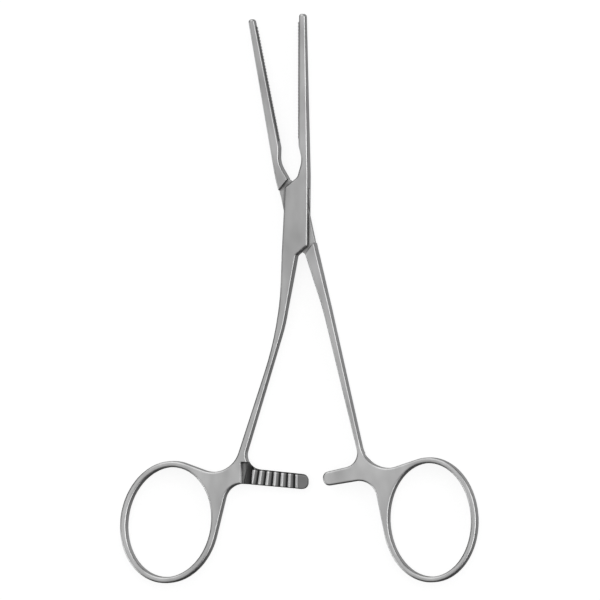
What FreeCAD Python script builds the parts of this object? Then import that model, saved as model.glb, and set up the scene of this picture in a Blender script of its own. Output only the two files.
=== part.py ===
import FreeCAD, Part
import math
import os

import Sketcher
from FreeCAD import Placement, Rotation, Vector

# Straight atraumatic clamp with a box lock, two finger rings and a ratchet.
# Millimetres. The pin axis is the Z axis. The clamp lies flat: +Y points to the jaw tips,
# +X to the side of the jaw that grows from the box, and Z = 0 is the back of the box.
# Each half is drawn with the jaws parallel, and the tongue half is then turned open.
# The sketches lie in the mid-plane, and each body is raised by half the lock's depth.

DRIVING = [
    # Depths, measured along the pin
    ("lock_depth", 4.4),
    ("tongue_depth", 1.6),
    ("tongue_side_clearance", 0.05),
    ("handle_depth", 3.8),
    ("jaw_tip_depth", 2.9),
    ("taper_start", 11.0),
    ("ramp_start", -10.5),
    ("ramp_end", -24.0),
    ("rim_radius", 0.55),
    # Opening of the jaws as they lie, and the turn from there to the closed stop
    ("open_angle", 11.4),
    ("closing_angle", 12.0),
    # Pin
    ("pin_radius", 1.1),
    ("pin_clearance", 0.03),
    # Jaws
    ("jaw_length", 50.0),
    ("jaw_root_y", 10.0),
    ("jaw_root_radius", 40.0),
    ("box_jaw_root_x", 2.96),
    ("box_jaw_tip_x", 2.13),
    ("box_face_x", 0.58),
    ("tongue_jaw_root_x", 3.3),
    ("tongue_jaw_tip_x", 2.43),
    ("tongue_face_x", 0.93),
    ("tip_round", 0.76),
    ("tip_inner_round", 0.69),
    ("face_start", 17.6),
    ("face_start_radius", 1.2),
    ("throat_recess", 0.87),
    ("throat_y", 13.9),
    ("throat_radius", 6.0),
    ("throat_lip_x", 0.3),
    ("throat_lip_radius", 2.0),
    # Cross-toothed rows on the jaw faces
    ("row_height", 0.35),
    ("row_width", 0.5),
    ("row_spacing", 0.62),
    ("row_tooth_pitch", 0.8),
    ("row_tooth_depth", 0.2),
    ("face_end_margin", 1.6),
    # Box lock
    ("box_half_width", 2.8),
    ("plate_corner_y", 7.15),
    ("lock_slope", 40.0),
    ("lock_gap", 0.3),
    ("box_notch_x", -0.1),
    ("tongue_notch_x", 0.4),
    ("notch_radius", 0.8),
    ("slot_wall_slope", 42.0),
    ("slot_wall_distance", 7.1),
    ("tongue_half_width", 2.95),
    ("tongue_end_gap", 0.25),
    ("tongue_neck_y", 5.0),
    ("tongue_neck_radius", 20.0),
    # Finger rings
    ("box_ring_x", -32.27),
    ("box_ring_drop", 10.67),
    ("box_ring_tilt", 9.7),
    ("box_ring_half_width", 10.67),
    ("box_ring_half_length", 13.65),
    ("box_ring_wire", 1.5),
    ("tongue_ring_x", 18.08),
    ("tongue_ring_drop", 15.09),
    ("tongue_ring_tilt", 8.9),
    ("tongue_ring_half_width", 10.36),
    ("tongue_ring_half_length", 13.98),
    ("tongue_ring_wire", 1.4),
    # Shank of the box half
    ("shank_top_radius", 30.0),
    ("box_shank_top_x", -3.63),
    ("box_shank_top_y", -9.0),
    ("box_shank_bend_y", -27.0),
    ("box_shank_outer_bend_x", -4.3),
    ("box_shank_outer_radius", 85.0),
    ("box_shank_inner_bend_x", -3.33),
    ("box_shank_inner_radius", 40.0),
    ("box_foot_x", -16.85),
    ("box_foot_drop", 0.25),
    # Shank of the tongue half
    ("tongue_shank_top_x", 3.2),
    ("tongue_shank_top_y", -9.0),
    ("tongue_shank_bend_y", -23.5),
    ("tongue_shank_outer_bend_x", 3.78),
    ("tongue_shank_outer_radius", 100.0),
    ("tongue_shank_inner_bend_x", 2.0),
    ("tongue_shank_inner_radius", 100.0),
    ("tongue_foot_x", 4.85),
    ("tongue_foot_drop", 1.5),
    # Webs between shank, ring and ratchet bar
    ("foot_radius", 6.8),
    ("web_radius", 4.5),
    ("armpit_radius", 3.6),
    ("box_armpit_x", -13.95),
    ("box_web_x", -17.3),
    ("tongue_armpit_x", 3.7),
    ("tongue_web_x", 6.2),
    # Ratchet bars
    ("bar_radius", 64.7),
    ("box_bar_lift", 0.2),
    ("box_bar_root_width", 4.0),
    ("box_bar_tip_width", 3.7),
    ("box_bar_tip_x", 2.5),
    ("box_bar_slope", -5.3),
    ("tongue_bar_lift", -0.2),
    ("tongue_bar_root_width", 4.1),
    ("tongue_bar_tip_width", 3.4),
    ("tongue_bar_tip_x", -6.2),
    ("tongue_bar_slope", -0.5),
    ("bar_end_round", 1.55),
    ("lap_gap", 0.08),
    ("lap_height", 8.4),
    ("lap_reach", 18.0),
    ("scoop_radius", 2.36),
    ("box_scoop_x", -14.05),
    ("tongue_scoop_x", 5.7),
    ("tooth_count", 7),
    ("tongue_tooth_count", 4),
    ("tooth_pitch", 1.84),
    ("tooth_depth", 0.6),
    ("tooth_lean", 0.45),
    ("box_first_tooth_x", -11.2),
]

REACH = 12.0


def make_sheet(doc):
    """Put every driving size in a named cell."""
    sheet = doc.addObject("Spreadsheet::Sheet", "sizes")
    for row, (name, value) in enumerate(DRIVING, start=1):
        sheet.set("A%d" % row, name.replace("_", " "))
        sheet.set("B%d" % row, str(value))
        sheet.setAlias("B%d" % row, name)
    doc.recompute()
    return sheet


def plane_of(body, role):
    """Return one origin plane or axis of a body."""
    for feature in body.Origin.OriginFeatures:
        if feature.Role == role:
            return feature
    raise ValueError(role)


def add_sketch(body, name, role, offset=None):
    """Start a sketch on one of the body's own origin planes."""
    sketch = body.newObject("Sketcher::SketchObject", name)
    sketch.AttachmentSupport = (plane_of(body, role), [""])
    sketch.MapMode = "FlatFace"
    if offset is not None:
        sketch.AttachmentOffset = offset
    return sketch


def bind(feature, **cells):
    """Tie properties of a feature to expressions of the sheet's cells."""
    for name, expression in cells.items():
        feature.setExpression(name, expression)


def at(x, y):
    """A point in a sketch."""
    return Vector(x, y, 0)


def round_corners(corners):
    """Edges along a run of corners (x, y, radius), from the first corner to the last.

    The first and the last corner stay sharp. A corner of radius 0 is sharp too.
    """
    edges = []
    start = at(corners[0][0], corners[0][1])
    for before, corner, after in zip(corners, corners[1:], corners[2:]):
        point = at(corner[0], corner[1])
        back = (at(before[0], before[1]) - point).normalize()
        ahead = (at(after[0], after[1]) - point).normalize()
        radius = corner[2]
        if radius == 0:
            edges.append(Part.LineSegment(start, point))
            start = point
            continue
        half_turn = (math.pi - back.getAngle(ahead)) / 2
        run = radius * math.tan(half_turn)
        first = point + back * run
        last = point + ahead * run
        inward = (back + ahead).normalize()
        middle = point + inward * (radius / math.cos(half_turn) - radius)
        edges.append(Part.LineSegment(start, first))
        edges.append(Part.Arc(first, middle, last))
        start = last
    edges.append(Part.LineSegment(start, at(corners[-1][0], corners[-1][1])))
    return edges


class Oval:
    """A tilted ellipse. Its long axis leans towards +X at the top by the tilt."""

    def __init__(self, x, y, half_width, half_length, tilt):
        self.centre = at(x, y)
        self.half_width = half_width
        self.half_length = half_length
        lean = math.radians(tilt)
        self.along = at(math.sin(lean), math.cos(lean))
        self.across = at(-math.cos(lean), math.sin(lean))

    def curve(self):
        return Part.Ellipse(
            self.centre + self.along * self.half_length,
            self.centre + self.across * self.half_width,
            self.centre,
        )

    def point(self, angle):
        along = self.along * (self.half_length * math.cos(angle))
        across = self.across * (self.half_width * math.sin(angle))
        return self.centre + along + across

    def tangents(self, x, y):
        """The two angles at which lines from an outer point touch the ellipse."""
        offset = at(x, y) - self.centre
        along = offset.dot(self.along) / self.half_length
        across = offset.dot(self.across) / self.half_width
        middle = math.atan2(across, along)
        spread = math.acos(1 / math.hypot(along, across))
        return middle - spread, middle + spread


def check(doc):
    """Stop if any object of the document failed."""
    doc.recompute()
    for item in doc.Objects:
        if "Invalid" in item.State or "Error" in item.State:
            raise RuntimeError("%s failed: %s" % (item.Label, item.State))


def rim_edges(shape):
    """Names of the edges between a front or back face and a side wall."""
    names = []
    for number, edge in enumerate(shape.Edges, start=1):
        faces = shape.ancestorsOfType(edge, Part.Face)
        if len(faces) != 2:
            continue
        tilts = sorted(abs(face.normalAt(0, 0).z) for face in faces)
        if tilts[0] < 0.1 and tilts[1] > 0.9:
            names.append("Edge%d" % number)
    return names


def slope_line(x, y, slope, at_x):
    """Height at at_x of the line through (x, y) with a slope in degrees."""
    return y + (at_x - x) * math.tan(math.radians(slope))


def band_height(distance, slope, at_x):
    """Height at at_x of the line at a distance from the pin with a slope in degrees."""
    return distance / math.cos(math.radians(slope)) + at_x * math.tan(math.radians(slope))


def band(distance, slope):
    """A strip across the lock, between two parallel lines on either side of the pin."""
    corners = [
        at(-REACH, band_height(distance, slope, -REACH)),
        at(REACH, band_height(distance, slope, REACH)),
        at(REACH, band_height(-distance, slope, REACH)),
        at(-REACH, band_height(-distance, slope, -REACH)),
    ]
    return closed(corners)


def closed(points):
    """Straight edges round a closed run of points."""
    return [Part.LineSegment(a, b) for a, b in zip(points, points[1:] + points[:1])]


def jaw_corners(size, name, side):
    """Corners of a jaw, from its outer root over the tip to the throat."""
    outer_root = side * size[name + "_jaw_root_x"]
    outer_tip = side * size[name + "_jaw_tip_x"]
    face = side * size[name + "_face_x"]
    return [
        (outer_root, size["jaw_root_y"], size["jaw_root_radius"]),
        (outer_tip, size["jaw_length"], size["tip_round"]),
        (face, size["jaw_length"], size["tip_inner_round"]),
        (face, size["face_start"], size["face_start_radius"]),
        (face + side * size["throat_recess"], size["throat_y"], size["throat_radius"]),
    ]


def bar_corners(size, name, armpit, foot):
    """Corners of a ratchet bar, from the armpit round the tip to the web below it."""
    root = size[name + "_bar_root_width"] / 2
    tip = size[name + "_bar_tip_width"] / 2
    tip_x = size[name + "_bar_tip_x"]
    slope = size[name + "_bar_slope"]
    middle = size[name + "_bar_lift"] - size["bar_radius"]
    centre_x = (tip_x + foot) / 2
    tip_y = slope_line(centre_x, middle, slope, tip_x)
    return [
        (armpit, slope_line(centre_x, middle, slope, armpit) + root, size["armpit_radius"]),
        (tip_x, tip_y + tip, size["bar_end_round"]),
        (tip_x, tip_y - tip, size["bar_end_round"]),
        (foot, slope_line(centre_x, middle, slope, foot) - root, size["web_radius"]),
    ]


def ring_of(size, name):
    """The hole and the outer edge of a finger ring."""
    x = size[name + "_ring_x"]
    y = -size["bar_radius"] - size[name + "_ring_drop"]
    tilt = size[name + "_ring_tilt"]
    half_width = size[name + "_ring_half_width"]
    half_length = size[name + "_ring_half_length"]
    wire = size[name + "_ring_wire"]
    hole = Oval(x, y, half_width, half_length, tilt)
    rim = Oval(x, y, half_width + wire, half_length + wire, tilt)
    return hole, rim


def foot_corner(size, name):
    """Corner between the outer edge of a shank and the web to the ring."""
    drop = size["bar_radius"] + size[name + "_foot_drop"]
    return (size[name + "_foot_x"], -drop, size["foot_radius"])


def box_outline(size):
    """Outline of the box half: jaw, box, shank, ratchet bar and finger ring."""
    rim = ring_of(size, "box")[1]
    foot = foot_corner(size, "box")
    half_width = size["box_half_width"]
    corner_y = size["plate_corner_y"]
    slope = size["lock_slope"]
    lip = size["throat_lip_x"]
    notch = size["box_notch_x"]
    jaw = jaw_corners(size, "box", 1)
    bar = bar_corners(size, "box", size["box_armpit_x"], size["box_web_x"])
    upper = rim.tangents(foot[0], foot[1])[1]
    lower = rim.tangents(bar[-1][0], bar[-1][1])[0]
    start = rim.point(upper)
    end = rim.point(lower)
    corners = [
        (start.x, start.y, 0),
        foot,
        (size["box_shank_outer_bend_x"], size["box_shank_bend_y"], size["box_shank_outer_radius"]),
        (size["box_shank_top_x"], size["box_shank_top_y"], size["shank_top_radius"]),
        (-half_width, corner_y, 0),
        (lip, slope_line(-half_width, corner_y, slope, lip), size["throat_lip_radius"]),
        *reversed(jaw),
        (half_width, -corner_y, 0),
        (notch, slope_line(half_width, -corner_y, slope, notch), size["notch_radius"]),
        (size["box_shank_inner_bend_x"], size["box_shank_bend_y"], size["box_shank_inner_radius"]),
        *bar,
        (end.x, end.y, 0),
    ]
    far_side = Part.ArcOfEllipse(rim.curve(), upper, lower)
    return round_corners(corners) + [far_side]


def tongue_outline(size):
    """Outline of the tongue half: jaw, tongue, shank, ratchet bar and finger ring."""
    rim = ring_of(size, "tongue")[1]
    foot = foot_corner(size, "tongue")
    half_width = size["tongue_half_width"]
    slope = -size["slot_wall_slope"]
    edge = size["slot_wall_distance"] - size["tongue_end_gap"]
    lip = size["throat_lip_x"]
    notch = size["tongue_notch_x"]
    jaw = jaw_corners(size, "tongue", -1)
    bar = bar_corners(size, "tongue", size["tongue_armpit_x"], size["tongue_web_x"])
    upper = rim.tangents(foot[0], foot[1])[0]
    lower = rim.tangents(bar[-1][0], bar[-1][1])[1]
    start = rim.point(upper)
    end = rim.point(lower)
    corners = [
        (start.x, start.y, 0),
        foot,
        (size["tongue_shank_outer_bend_x"], size["tongue_shank_bend_y"], size["tongue_shank_outer_radius"]),
        (size["tongue_shank_top_x"], size["tongue_shank_top_y"], size["shank_top_radius"]),
        (half_width, band_height(edge, slope, half_width), 0),
        (-lip, band_height(edge, slope, -lip), 0),
        *reversed(jaw),
        (-half_width, size["tongue_neck_y"], size["tongue_neck_radius"]),
        (-half_width, band_height(-edge, slope, -half_width), 0),
        (notch, band_height(-edge, slope, notch), size["notch_radius"]),
        (size["tongue_shank_inner_bend_x"], size["tongue_shank_bend_y"], size["tongue_shank_inner_radius"]),
        *bar,
        (end.x, end.y, 0),
    ]
    far_side = Part.ArcOfEllipse(rim.curve(), lower, upper)
    return round_corners(corners) + [far_side]


def add_blank(body, outline):
    """Pad the outline to the lock's full depth."""
    plan = add_sketch(body, body.Label + "_plan", "XY_Plane")
    plan.addGeometry(outline, False)
    pad = body.newObject("PartDesign::Pad", body.Label + "_blank")
    pad.Profile = plan
    pad.Midplane = True
    bind(pad, Length="sizes.lock_depth")


def ease(size, side):
    """Two arcs, tangent to each other and to both levels, from lock depth to handle depth."""
    top = size["ramp_start"]
    bottom = size["ramp_end"]
    lock = size["lock_depth"] / 2
    handle = size["handle_depth"] / 2
    run = top - bottom
    drop = lock - handle
    radius = (run * run + drop * drop) / (4 * drop)
    half_turn = math.asin(run / (2 * radius)) / 2
    along = radius * math.sin(half_turn)
    down = radius * (1 - math.cos(half_turn))
    middle = at((top + bottom) / 2, side * (lock + handle) / 2)
    return [
        Part.Arc(at(top, side * lock), at(top - along, side * (lock - down)), middle),
        Part.Arc(middle, at(bottom + along, side * (handle + down)), at(bottom, side * handle)),
    ]


def thin_ends(body, size):
    """Thin the jaw towards its tip and the handle below the lock, on front and back."""
    lock = size["lock_depth"] / 2
    tip = size["jaw_tip_depth"] / 2
    handle = size["handle_depth"] / 2
    sketch = add_sketch(body, body.Label + "_side", "YZ_Plane")
    past_tip = size["jaw_length"] + REACH
    past_ring = -2 * size["bar_radius"]
    rise = (tip - lock) / (size["jaw_length"] - size["taper_start"])
    for side in (1, -1):
        jaw = [
            at(size["taper_start"], side * lock),
            at(past_tip, side * (lock + rise * (past_tip - size["taper_start"]))),
            at(past_tip, side * REACH),
            at(size["taper_start"], side * REACH),
        ]
        grip = [
            at(size["ramp_end"], side * handle),
            at(past_ring, side * handle),
            at(past_ring, side * REACH),
            at(size["ramp_start"], side * REACH),
            at(size["ramp_start"], side * lock),
        ]
        sketch.addGeometry(closed(jaw), False)
        sketch.addGeometry(closed(grip)[:-1] + ease(size, side), False)
    pocket = body.newObject("PartDesign::Pocket", body.Label + "_thin")
    pocket.Profile = sketch
    pocket.Type = "ThroughAll"
    pocket.Midplane = True


def open_ring(body, size, name):
    """Cut the finger hole."""
    sketch = add_sketch(body, body.Label + "_hole", "XY_Plane")
    sketch.addGeometry(ring_of(size, name)[0].curve(), False)
    pocket = body.newObject("PartDesign::Pocket", body.Label + "_finger_hole")
    pocket.Profile = sketch
    pocket.Type = "ThroughAll"
    pocket.Midplane = True


def round_rims(doc, body):
    """Round the rims of the front and back faces, as the forging is ground."""
    doc.recompute()
    blank = body.Tip
    fillet = body.newObject("PartDesign::Fillet", body.Label + "_rims")
    fillet.Base = (blank, rim_edges(blank.Shape))
    bind(fillet, Radius="sizes.rim_radius")


def bore(body, expression):
    """Drill the lock on the pin axis."""
    sketch = add_sketch(body, body.Label + "_pin_circle", "XY_Plane")
    add_circle(sketch, expression)
    pocket = body.newObject("PartDesign::Pocket", body.Label + "_pin_bore")
    pocket.Profile = sketch
    pocket.Type = "ThroughAll"
    pocket.Midplane = True


def add_circle(sketch, expression):
    """A circle on the pin axis whose radius follows the sheet."""
    sketch.addGeometry(Part.Circle(at(0, 0), Vector(0, 0, 1), 1.0), False)
    sketch.addConstraint(Sketcher.Constraint("Coincident", 0, 3, -1, 1))
    sketch.addConstraint(Sketcher.Constraint("Radius", 0, 1.0))
    sketch.setExpression("Constraints[1]", expression)


def lap_offset(size, angle):
    """Offset of an XZ sketch to the top of the laps, square to the radius at an angle from -Y."""
    radius = size["bar_radius"] - size["lap_height"] / 2
    lean = math.radians(angle)
    base = Vector(radius * math.sin(lean), 0, radius * math.cos(lean))
    return Placement(base, Rotation(Vector(0, 1, 0), angle))


def lap_bar(body, size, name, side):
    """Cut the bar to half depth on one side, with a scooped root."""
    handle = size["handle_depth"] / 2
    lap = -side * size["lap_gap"] / 2
    root = size[name + "_scoop_x"]
    radius = size["scoop_radius"]
    turn = math.acos(1 - (handle + size["lap_gap"] / 2) / radius)
    foot = root + side * radius * math.sin(turn)
    centre = at(foot, lap + side * radius)
    middle = centre - at(math.sin(turn / 2), math.cos(turn / 2)) * (side * radius)
    past_tip = root + side * size["lap_reach"]
    sketch = add_sketch(body, body.Label + "_lap", "XZ_Plane", lap_offset(size, 0))
    sketch.addGeometry(
        [
            Part.Arc(at(root, side * handle), middle, at(foot, lap)),
            Part.LineSegment(at(foot, lap), at(past_tip, lap)),
            Part.LineSegment(at(past_tip, lap), at(past_tip, side * REACH)),
            Part.LineSegment(at(past_tip, side * REACH), at(root, side * REACH)),
            Part.LineSegment(at(root, side * REACH), at(root, side * handle)),
        ],
        False,
    )
    pocket = body.newObject("PartDesign::Pocket", body.Label + "_half_lap")
    pocket.Profile = sketch
    pocket.Reversed = True
    bind(pocket, Length="sizes.lap_height")


def cut_teeth(body, size, side, first_angle, count_cell):
    """Cut the ratchet teeth across the lapped face, spaced round the pin axis."""
    lap = -side * size["lap_gap"] / 2
    pitch = size["tooth_pitch"]
    sketch = add_sketch(body, body.Label + "_tooth", "XZ_Plane", lap_offset(size, first_angle))
    notch = [
        at(0, lap),
        at(-side * size["tooth_lean"], lap - side * size["tooth_depth"]),
        at(-side * pitch, lap),
        at(-side * pitch, side * size["tooth_depth"]),
        at(0, side * size["tooth_depth"]),
    ]
    sketch.addGeometry(closed(notch), False)
    pocket = body.newObject("PartDesign::Pocket", body.Label + "_tooth_gap")
    pocket.Profile = sketch
    pocket.Reversed = True
    bind(pocket, Length="sizes.lap_height")
    pattern = body.newObject("PartDesign::PolarPattern", body.Label + "_teeth")
    pattern.Originals = [pocket]
    pattern.Axis = (plane_of(body, "Z_Axis"), [""])
    pattern.Reversed = side < 0
    step = "atan(sizes.tooth_pitch / sizes.bar_radius)"
    bind(pattern, Angle="%s * (sizes.%s - 1)" % (step, count_cell))
    bind(pattern, Occurrences="sizes.%s" % count_cell)
    body.Tip = pattern


def add_row(body, size, side, face, name, height):
    """Pad one row of fine cross teeth on the jaw face, at a height off mid-depth."""
    root = face + side * size["row_height"]
    crest = face - side * size["row_height"]
    valley = crest + side * size["row_tooth_depth"]
    pitch = size["row_tooth_pitch"]
    start = size["face_start"] + size["face_end_margin"]
    length = size["jaw_length"] - size["face_end_margin"] - start
    count = int(length / pitch)
    points = [at(root, start), at(valley, start)]
    for tooth in range(count):
        low = start + tooth * pitch
        points.append(at(crest, low + pitch / 2))
        points.append(at(valley, low + pitch))
    points.append(at(root, start + count * pitch))
    sketch = add_sketch(body, "%s_%s" % (body.Label, name), "XY_Plane")
    sketch.setExpression("AttachmentOffset.Base.z", height)
    sketch.addGeometry(closed(points), False)
    pad = body.newObject("PartDesign::Pad", "%s_%s_row" % (body.Label, name))
    pad.Profile = sketch
    pad.Midplane = True
    bind(pad, Length="sizes.row_width")


def tooth_angles(size):
    """Angles of the first tooth of each bar, from -Y towards +X, jaws parallel."""
    step = math.degrees(math.atan(size["tooth_pitch"] / size["bar_radius"]))
    first = math.degrees(math.asin(size["box_first_tooth_x"] / size["bar_radius"]))
    last = first + (size["tooth_count"] - 1) * step
    return first, last + size["closing_angle"] - size["open_angle"]


def start_body(doc, label):
    """A body that stands on the table plane, with its sketches at mid-depth."""
    body = doc.addObject("PartDesign::Body", label)
    body.Label = label
    body.setExpression("Placement.Base.z", "sizes.lock_depth / 2")
    return body


def build_box_half(doc, size):
    """The female forging: slotted box, jaw, shank, toothed bar and ring."""
    body = start_body(doc, "box_half")
    add_blank(body, box_outline(size))
    thin_ends(body, size)
    open_ring(body, size, "box")
    round_rims(doc, body)
    sketch = add_sketch(body, "box_half_slot", "XY_Plane")
    sketch.addGeometry(band(size["slot_wall_distance"], -size["slot_wall_slope"]), False)
    slot = body.newObject("PartDesign::Pocket", "box_half_tongue_slot")
    slot.Profile = sketch
    slot.Midplane = True
    bind(slot, Length="sizes.tongue_depth + 2 * sizes.tongue_side_clearance")
    bore(body, "sizes.pin_radius")
    lap_bar(body, size, "box", 1)
    cut_teeth(body, size, 1, tooth_angles(size)[0], "tooth_count")
    add_row(body, size, 1, size["box_face_x"], "front", "sizes.row_spacing")
    add_row(body, size, 1, size["box_face_x"], "back", "-sizes.row_spacing")
    return body


def build_tongue_half(doc, size):
    """The male forging: tongue, jaw, shank, bar toothed on its back, and ring."""
    body = start_body(doc, "tongue_half")
    add_blank(body, tongue_outline(size))
    thin_ends(body, size)
    open_ring(body, size, "tongue")
    round_rims(doc, body)
    plate_edge = Vector(-size["box_half_width"], size["plate_corner_y"], 0)
    slope = math.radians(size["lock_slope"])
    across = Vector(-math.sin(slope), math.cos(slope), 0)
    shoulder = plate_edge.dot(across) + size["lock_gap"]
    for name, sign, reverse in (("front", 1, True), ("back", -1, False)):
        sketch = add_sketch(body, "tongue_half_%s_recess" % name, "XY_Plane")
        sketch.setExpression("AttachmentOffset.Base.z", "%d * sizes.tongue_depth / 2" % sign)
        sketch.addGeometry(band(shoulder, size["lock_slope"]), False)
        recess = body.newObject("PartDesign::Pocket", "tongue_half_%s_cut" % name)
        recess.Profile = sketch
        recess.Type = "ThroughAll"
        recess.Reversed = reverse
    bore(body, "sizes.pin_radius + sizes.pin_clearance")
    lap_bar(body, size, "tongue", -1)
    cut_teeth(body, size, -1, tooth_angles(size)[1], "tongue_tooth_count")
    add_row(body, size, -1, -size["tongue_face_x"], "middle", "0 * sizes.row_spacing")
    body.setExpression("Placement.Rotation.Angle", "sizes.open_angle")
    return body


def build_pin(doc):
    """The hinge rivet, ground flush with both plates."""
    body = start_body(doc, "hinge_pin")
    sketch = add_sketch(body, "pin_circle", "XY_Plane")
    add_circle(sketch, "sizes.pin_radius")
    pad = body.newObject("PartDesign::Pad", "pin_shaft")
    pad.Profile = sketch
    pad.Midplane = True
    bind(pad, Length="sizes.lock_depth")
    return body


def main():
    doc = FreeCAD.newDocument("clamp")
    sheet = make_sheet(doc)
    size = {name: float(sheet.get(name)) for name, value in DRIVING}
    box = build_box_half(doc, size)
    tongue = build_tongue_half(doc, size)
    pin = build_pin(doc)
    check(doc)
    os.makedirs("parts", exist_ok=True)
    for body in (box, tongue, pin):
        shape = body.Shape
        if shape.isNull() or not shape.isValid():
            raise RuntimeError("%s has no valid shape" % body.Label)
        shape.exportStep("parts/%s.step" % body.Label)
        print(body.Label, round(shape.Volume, 2), len(shape.Solids), len(shape.Faces))


main()
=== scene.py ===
import math

import bpy
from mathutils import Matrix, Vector


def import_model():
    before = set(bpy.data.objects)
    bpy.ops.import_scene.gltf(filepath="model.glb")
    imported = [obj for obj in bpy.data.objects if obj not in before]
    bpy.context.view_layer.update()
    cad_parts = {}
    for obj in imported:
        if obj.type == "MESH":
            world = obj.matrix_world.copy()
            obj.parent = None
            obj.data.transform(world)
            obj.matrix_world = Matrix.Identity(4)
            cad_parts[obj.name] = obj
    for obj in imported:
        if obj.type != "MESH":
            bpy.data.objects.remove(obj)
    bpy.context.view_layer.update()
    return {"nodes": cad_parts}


# Atraumatic clamp in satin stainless steel, lying open on a pale table in soft studio light.
# Metres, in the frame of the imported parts: the pin axis is Z and the back of the box is Z = 0.

MM = 0.001
LOCK_DEPTH = 4.4 * MM

# Photograph: 600 pixels square, taken from 12 degrees to the side of the straight jaw
PIXELS = 600
PIXEL = 0.2465 * MM
PIN_PIXEL = (297.6, 216.7)
CAMERA_TILT = math.radians(12.0)
LENS = 1000.0
SENSOR = 36.0
CLIP_END = 50.0

# Light panels: direction, inner and outer angle in degrees, strength
PANELS = [
    ((-0.15, 0.15, 1.0), 14, 70, 0.57),
    ((1.0, 0.30, 0.32), 10, 34, 1.35),
    ((1.0, -0.35, 0.35), 12, 30, 1.3),
    ((-0.2, 1.0, 0.30), 14, 50, 0.9),
    ((-1.0, -0.40, 0.05), 6, 30, 1.6),
    ((0.25, 0.35, -1.0), 5, 42, 0.32),
]
ROOM = 0.035

# Round table, just below the clamp, and the wall round it
STAGE_SIDES = 96
TABLE_RADIUS = 3.0
TABLE_GAP = 0.02 * MM
TABLE_GREY = 0.3
TABLE_GLOW = 0.86
WALL_RADIUS = 20.0
WALL_HEIGHT = 20.0
WALL_GREY = 0.0
WALL_GLOW = 1.0

# Tone and roughness of the steel, and how much the clouds and the brushing change them
STEEL = 0.62
CLOUDS = 0.1
SATIN = 0.34
BRUSHING = 0.05

# Noises of the brushing, the satin grain and the clouds: size, detail, and squeeze along the jaw
GRAIN = 0.06 * MM
STREAK = 2.4 * MM
CLOUD = 5 * MM
NOISES = [
    (4 * GRAIN, 3.0, GRAIN / STREAK),
    (GRAIN, 2.0, 1.0),
    (CLOUD, 2.0, 0.45),
]
NOISE_RANGE = (0.3, 0.7)
BUMP_STRENGTH = 0.25
BUMP_HEIGHT = 0.02 * MM
BUMP_GRAIN = 0.5

# Painted sheen, lighter steel away from the pin: how much, and the distances from the pin between
# which each half gets so
PAINTED_SHEEN = 1.12
BOX_SHEEN_RUN = (13.0 * MM, 20.0 * MM)
TONGUE_SHEEN_RUN = (50.0 * MM, 62.0 * MM)

# Softened edges: radius at the lock and on the shanks, and Y where it changes.
# The pin is ground flush, so nothing is softened within the rivet's distance of its axis.
EDGE = 0.32 * MM
SHANK_EDGE = 0.4 * MM
SHANK_RUN = (-25 * MM, -40 * MM)
RIVET = 1.5 * MM
NEAR_SAMPLES = 8

# Painted shade, darkest where other surfaces close in: how near the walls are, how open the darkest
# and the clear place are, and the tone
PAINTED_SHADE_REACH = 1.0 * MM
PAINTED_SHADE_OPEN = (0.48, 0.86)
PAINTED_SHADE_TONE = 0.03

# Lapped ratchet bar: low and high Y, and X where the scoop starts and ends
LAP_LOW = -68.9 * MM
LAP_TOP = -60.5 * MM
SCOOP_START = -13.8 * MM
SCOOP_END = -11.6 * MM
SCOOP_TONES = (0.2, 0.05)

# Edges of the front ratchet bar: Y where X = 0, and slope
BAR_TOP = (-63.315 * MM, -0.1021)
BAR_LOW = (-67.056 * MM, -0.0853)

# Crests of the front ratchet, as angles about the pin from -Y towards +X.
# The plain end of the bar starts this many crests after the first.
FIRST_CREST = math.radians(-9.97)
CREST_STEP = math.radians(1.629)
BAR_END = 6.1
BAR_END_TONE = 0.42

# How bright the steel is painted from one crest to the next: painted highlight on the crest, ramp,
# painted shade in the valley, painted highlight on the catch face
TOOTH_PAINTED_LIGHT = [
    (0.0, 1.6),
    (0.1, 1.5),
    (0.16, 0.55),
    (0.38, 0.4),
    (0.5, 0.1),
    (0.71, 0.03),
    (0.76, 1.6),
]
# The same over the first millimetre in from each edge of the bar: painted shade along both edges.
# Only the upper one is bright, with a painted highlight just inside it.
BAR_TOP_PAINTED_LIGHT = [(0.0, 0.3), (0.28, 0.35), (0.36, 1.5), (0.5, 1.3), (0.62, 1.0)]
BAR_LOW_PAINTED_LIGHT = [(0.0, 0.3), (0.18, 0.35), (0.3, 1.0)]
# Brighter than this, a painted highlight is made matt so that it mirrors nothing and stays bright
# from every side
MATT_HIGHLIGHT_LEVEL = 1.1

# Turn of the tongue half as it lies, in degrees
TONGUE_LEAN = 11.4


def add_node(tree, kind, **settings):
    """A shader node with the given properties set."""
    node = tree.nodes.new(kind)
    for name, value in settings.items():
        setattr(node, name, value)
    return node


def feed(tree, value, socket):
    """Give a socket a number or another node's output."""
    if isinstance(value, (int, float)):
        socket.default_value = value
    else:
        tree.links.new(value, socket)


def math_node(tree, operation, *values):
    """The output of a maths node. Each value is a number or another node's output."""
    node = add_node(tree, "ShaderNodeMath", operation=operation)
    for value, socket in zip(values, node.inputs):
        feed(tree, value, socket)
    return node.outputs[0]


def remap(tree, value, span, result, smooth=False):
    """A value of the first span carried over to the second, and kept within it."""
    node = add_node(tree, "ShaderNodeMapRange")
    if smooth:
        node.interpolation_type = "SMOOTHSTEP"
    tree.links.new(value, node.inputs["Value"])
    for name, number in zip(("From Min", "From Max", "To Min", "To Max"), (*span, *result)):
        node.inputs[name].default_value = number
    return node.outputs["Result"]


def blend(tree, share, without, full):
    """A mix of two numbers or outputs."""
    node = add_node(tree, "ShaderNodeMix")
    tree.links.new(share, node.inputs["Factor"])
    feed(tree, without, node.inputs["A"])
    feed(tree, full, node.inputs["B"])
    return node.outputs["Result"]


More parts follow.
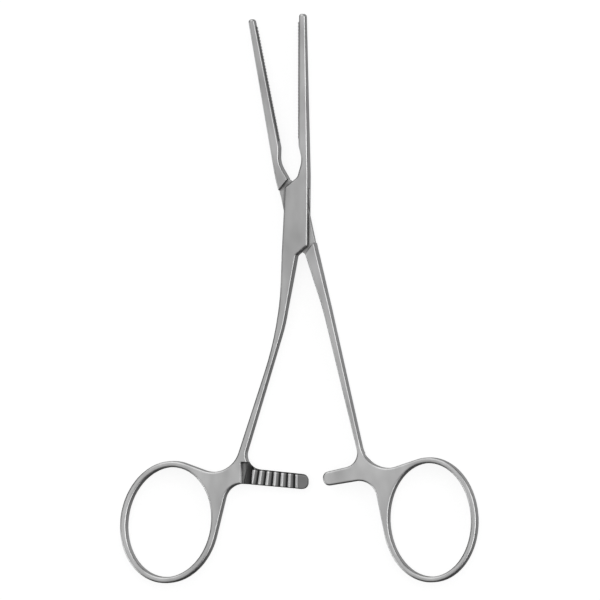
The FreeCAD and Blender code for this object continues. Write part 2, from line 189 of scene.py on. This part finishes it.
def tones(tree, value, steps):
    """A tone that runs through the given steps as a value goes from 0 to 1."""
    node = add_node(tree, "ShaderNodeValToRGB")
    tree.links.new(value, node.inputs["Fac"])
    stops = node.color_ramp.elements
    for position, tone in steps[1:-1]:
        stops.new(position)
    for stop, (position, tone) in zip(stops, steps):
        stop.position = position
        stop.color = grey(tone)
    return node.outputs["Color"]


def grey(value):
    """A grey as a colour with full opacity."""
    return (value, value, value, 1.0)


def make_sky(scene):
    """Soft studio light: a dim room with smooth bright panels, each in its own direction."""
    world = bpy.data.worlds.new("studio")
    scene.world = world
    world.use_nodes = True
    tree = world.node_tree
    direction = add_node(tree, "ShaderNodeTexCoord").outputs["Generated"]
    light = ROOM
    for axis, inner, outer, strength in PANELS:
        dot = add_node(tree, "ShaderNodeVectorMath", operation="DOT_PRODUCT")
        tree.links.new(direction, dot.inputs[0])
        dot.inputs[1].default_value = Vector(axis).normalized()
        span = (math.cos(math.radians(outer)), math.cos(math.radians(inner)))
        panel = remap(tree, dot.outputs["Value"], span, (0.0, strength), smooth=True)
        light = math_node(tree, "ADD", light, panel)
    background = tree.nodes["Background"]
    background.inputs["Color"].default_value = grey(1.0)
    tree.links.new(light, background.inputs["Strength"])


def dress_stage(name, material_name, tone, glow):
    """Give the object just made a pale matt glow, and keep it out of the steel's reflections."""
    item = bpy.context.object
    item.name = name
    item.visible_glossy = False
    material = bpy.data.materials.new(material_name)
    material.use_nodes = True
    shader = material.node_tree.nodes["Principled BSDF"]
    shader.inputs["Base Color"].default_value = grey(tone)
    shader.inputs["Roughness"].default_value = 1.0
    shader.inputs["Specular IOR Level"].default_value = 0.0
    shader.inputs["Emission Color"].default_value = grey(1.0)
    shader.inputs["Emission Strength"].default_value = glow
    item.data.materials.append(material)
    return item


def make_stage():
    """A wide pale table, and a wall far round it that only the camera sees."""
    bpy.ops.mesh.primitive_circle_add(vertices=STAGE_SIDES, radius=TABLE_RADIUS, fill_type="NGON")
    table = dress_stage("table_top", "pale_table", TABLE_GREY, TABLE_GLOW)
    table.location.z = -TABLE_GAP
    bpy.ops.mesh.primitive_cylinder_add(
        vertices=STAGE_SIDES, radius=WALL_RADIUS, depth=WALL_HEIGHT, end_fill_type="NOTHING"
    )
    wall = dress_stage("wall", "pale_wall", WALL_GREY, WALL_GLOW)
    wall.visible_diffuse = False
    wall.visible_shadow = False


def make_camera(scene):
    """A long lens at the photograph's angle and framing."""
    data = bpy.data.cameras.new("camera")
    data.sensor_width = SENSOR
    data.lens = LENS
    data.clip_end = CLIP_END
    camera = bpy.data.objects.new("camera", data)
    scene.collection.objects.link(camera)
    across = Vector((math.cos(CAMERA_TILT), 0, -math.sin(CAMERA_TILT)))
    back = Vector((math.sin(CAMERA_TILT), 0, math.cos(CAMERA_TILT)))
    right = (PIXELS / 2 - PIN_PIXEL[0]) * PIXEL
    down = (PIXELS / 2 - PIN_PIXEL[1]) * PIXEL
    target = Vector((0, 0, LOCK_DEPTH / 2)) + across * right - Vector((0, down, 0))
    camera.location = target + back * (PIXELS * PIXEL * LENS / SENSOR)
    camera.rotation_euler = (0, CAMERA_TILT, 0)
    scene.camera = camera


def ratchet_tone(tree, x, y):
    """Tone of the toothed bar, with painted light: 1 outside its lap, darker in the scoop, painted
    shade between the teeth and along the bar's edges, and painted highlights on crests, catch faces
    and inside the upper edge.
    """
    inside = math_node(tree, "GREATER_THAN", y, LAP_LOW)
    inside = math_node(tree, "MULTIPLY", inside, math_node(tree, "LESS_THAN", y, LAP_TOP))
    inside = math_node(tree, "MULTIPLY", inside, math_node(tree, "GREATER_THAN", x, SCOOP_START))
    angle = math_node(tree, "ARCTAN2", x, math_node(tree, "MULTIPLY", y, -1.0))
    count = math_node(tree, "DIVIDE", math_node(tree, "SUBTRACT", angle, FIRST_CREST), CREST_STEP)
    # Painted highlights on crests and catch faces, painted shade in the valleys
    tone = tones(tree, math_node(tree, "FRACT", count), TOOTH_PAINTED_LIGHT)
    tone = blend(tree, math_node(tree, "GREATER_THAN", count, BAR_END), tone, BAR_END_TONE)
    # Painted shade along both edges of the bar, and a painted highlight inside the upper one
    for (level, slope), side, steps in ((BAR_TOP, -1, BAR_TOP_PAINTED_LIGHT), (BAR_LOW, 1, BAR_LOW_PAINTED_LIGHT)):
        line = math_node(tree, "ADD", math_node(tree, "MULTIPLY", x, slope), level)
        depth = math_node(tree, "MULTIPLY", math_node(tree, "SUBTRACT", y, line), side / MM)
        tone = math_node(tree, "MULTIPLY", tone, tones(tree, depth, steps))
    scoop = remap(tree, x, (SCOOP_START, SCOOP_END), SCOOP_TONES)
    tone = blend(tree, math_node(tree, "LESS_THAN", x, SCOOP_END), tone, scoop)
    return blend(tree, inside, 1.0, tone)


def make_noises(tree, place, lean):
    """Noises of the brushing, the satin grain and the clouds, drawn out along the jaw."""
    turn = add_node(tree, "ShaderNodeMapping", vector_type="TEXTURE")
    turn.inputs["Rotation"].default_value = (0, 0, math.radians(lean))
    tree.links.new(place, turn.inputs["Vector"])
    noises = []
    for size, detail, squeeze in NOISES:
        stretch = add_node(tree, "ShaderNodeMapping")
        stretch.inputs["Scale"].default_value = (1, squeeze, 1)
        tree.links.new(turn.outputs["Vector"], stretch.inputs["Vector"])
        texture = add_node(tree, "ShaderNodeTexNoise")
        texture.inputs["Scale"].default_value = 1 / size
        texture.inputs["Detail"].default_value = detail
        tree.links.new(stretch.outputs["Vector"], texture.inputs["Vector"])
        noises.append(texture.outputs["Fac"])
    return noises


def make_normal(tree, y, reach, brushed, satin):
    """Surface normal with softened edges and a fine brushed bump."""
    edge = add_node(tree, "ShaderNodeBevel", samples=NEAR_SAMPLES)
    radius = remap(tree, y, SHANK_RUN, (EDGE, SHANK_EDGE), smooth=True)
    clear = math_node(tree, "GREATER_THAN", reach, RIVET ** 2)
    tree.links.new(math_node(tree, "MULTIPLY", radius, clear), edge.inputs["Radius"])
    bump = add_node(tree, "ShaderNodeBump")
    bump.inputs["Strength"].default_value = BUMP_STRENGTH
    bump.inputs["Distance"].default_value = BUMP_HEIGHT
    height = math_node(tree, "ADD", brushed, math_node(tree, "MULTIPLY", satin, BUMP_GRAIN))
    tree.links.new(height, bump.inputs["Height"])
    tree.links.new(edge.outputs["Normal"], bump.inputs["Normal"])
    return bump.outputs["Normal"]


def make_steel(name, sheen_run=BOX_SHEEN_RUN, lean=0.0, ratchet=False):
    """Satin steel, brushed along a half's own jaw, which leans from +Y by an angle in degrees."""
    material = bpy.data.materials.new(name)
    material.use_nodes = True
    tree = material.node_tree
    shader = tree.nodes["Principled BSDF"]
    place = add_node(tree, "ShaderNodeTexCoord").outputs["Object"]
    split = add_node(tree, "ShaderNodeSeparateXYZ")
    tree.links.new(place, split.inputs["Vector"])
    x, y = split.outputs["X"], split.outputs["Y"]
    reach = math_node(tree, "ADD", math_node(tree, "POWER", x, 2.0), math_node(tree, "POWER", y, 2.0))
    brushed, satin, cloudy = make_noises(tree, place, lean)

    tone = remap(tree, cloudy, NOISE_RANGE, (STEEL - CLOUDS, STEEL + CLOUDS))
    near, far = sheen_run
    # Painted sheen: the steel is made lighter away from the pin
    sheen = remap(tree, reach, (near ** 2, far ** 2), (1.0, PAINTED_SHEEN), smooth=True)
    tone = math_node(tree, "MULTIPLY", tone, sheen)
    # Painted shade: the colour darkens where nearby surfaces close in, in slots, valleys and steps
    shade = add_node(tree, "ShaderNodeAmbientOcclusion", samples=NEAR_SAMPLES)
    shade.inputs["Distance"].default_value = PAINTED_SHADE_REACH
    painted_light_and_shade = remap(tree, shade.outputs["AO"], PAINTED_SHADE_OPEN, (PAINTED_SHADE_TONE, 1.0))
    if ratchet:
        # Painted highlights and painted shade of the ratchet teeth and the bar's edges
        ratchet_light_and_tone = ratchet_tone(tree, x, y)
        # Painted highlights above the level are made matt, so they mirror nothing, and are kept free
        # of the painted shade
        matt_highlight = math_node(tree, "GREATER_THAN", ratchet_light_and_tone, MATT_HIGHLIGHT_LEVEL)
        painted_light_and_shade = math_node(tree, "MULTIPLY", ratchet_light_and_tone, blend(tree, matt_highlight, painted_light_and_shade, 1.0))
        tree.links.new(math_node(tree, "SUBTRACT", 1.0, matt_highlight), shader.inputs["Metallic"])
    else:
        shader.inputs["Metallic"].default_value = 1.0
    # The painted light and shade are multiplied into the steel's colour
    tone = math_node(tree, "MULTIPLY", tone, painted_light_and_shade)
    colour = add_node(tree, "ShaderNodeCombineColor")
    for socket in colour.inputs[:3]:
        tree.links.new(tone, socket)
    tree.links.new(colour.outputs["Color"], shader.inputs["Base Color"])
    rough = math_node(tree, "ADD", remap(tree, brushed, NOISE_RANGE, (-BRUSHING, BRUSHING)), SATIN)
    tree.links.new(rough, shader.inputs["Roughness"])
    tree.links.new(make_normal(tree, y, reach, brushed, satin), shader.inputs["Normal"])
    return material


def main():
    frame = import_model()
    scene = bpy.context.scene
    scene.view_settings.view_transform = "Standard"
    make_sky(scene)
    make_stage()
    make_camera(scene)
    finishes = {
        "box_half": make_steel("satin_steel_box", ratchet=True),
        "tongue_half": make_steel("satin_steel_tongue", sheen_run=TONGUE_SHEEN_RUN, lean=TONGUE_LEAN),
        "hinge_pin": make_steel("satin_steel_pin"),
    }
    for node, finish in finishes.items():
        for holder in frame["nodes"][node].material_slots:
            holder.material = finish


main()
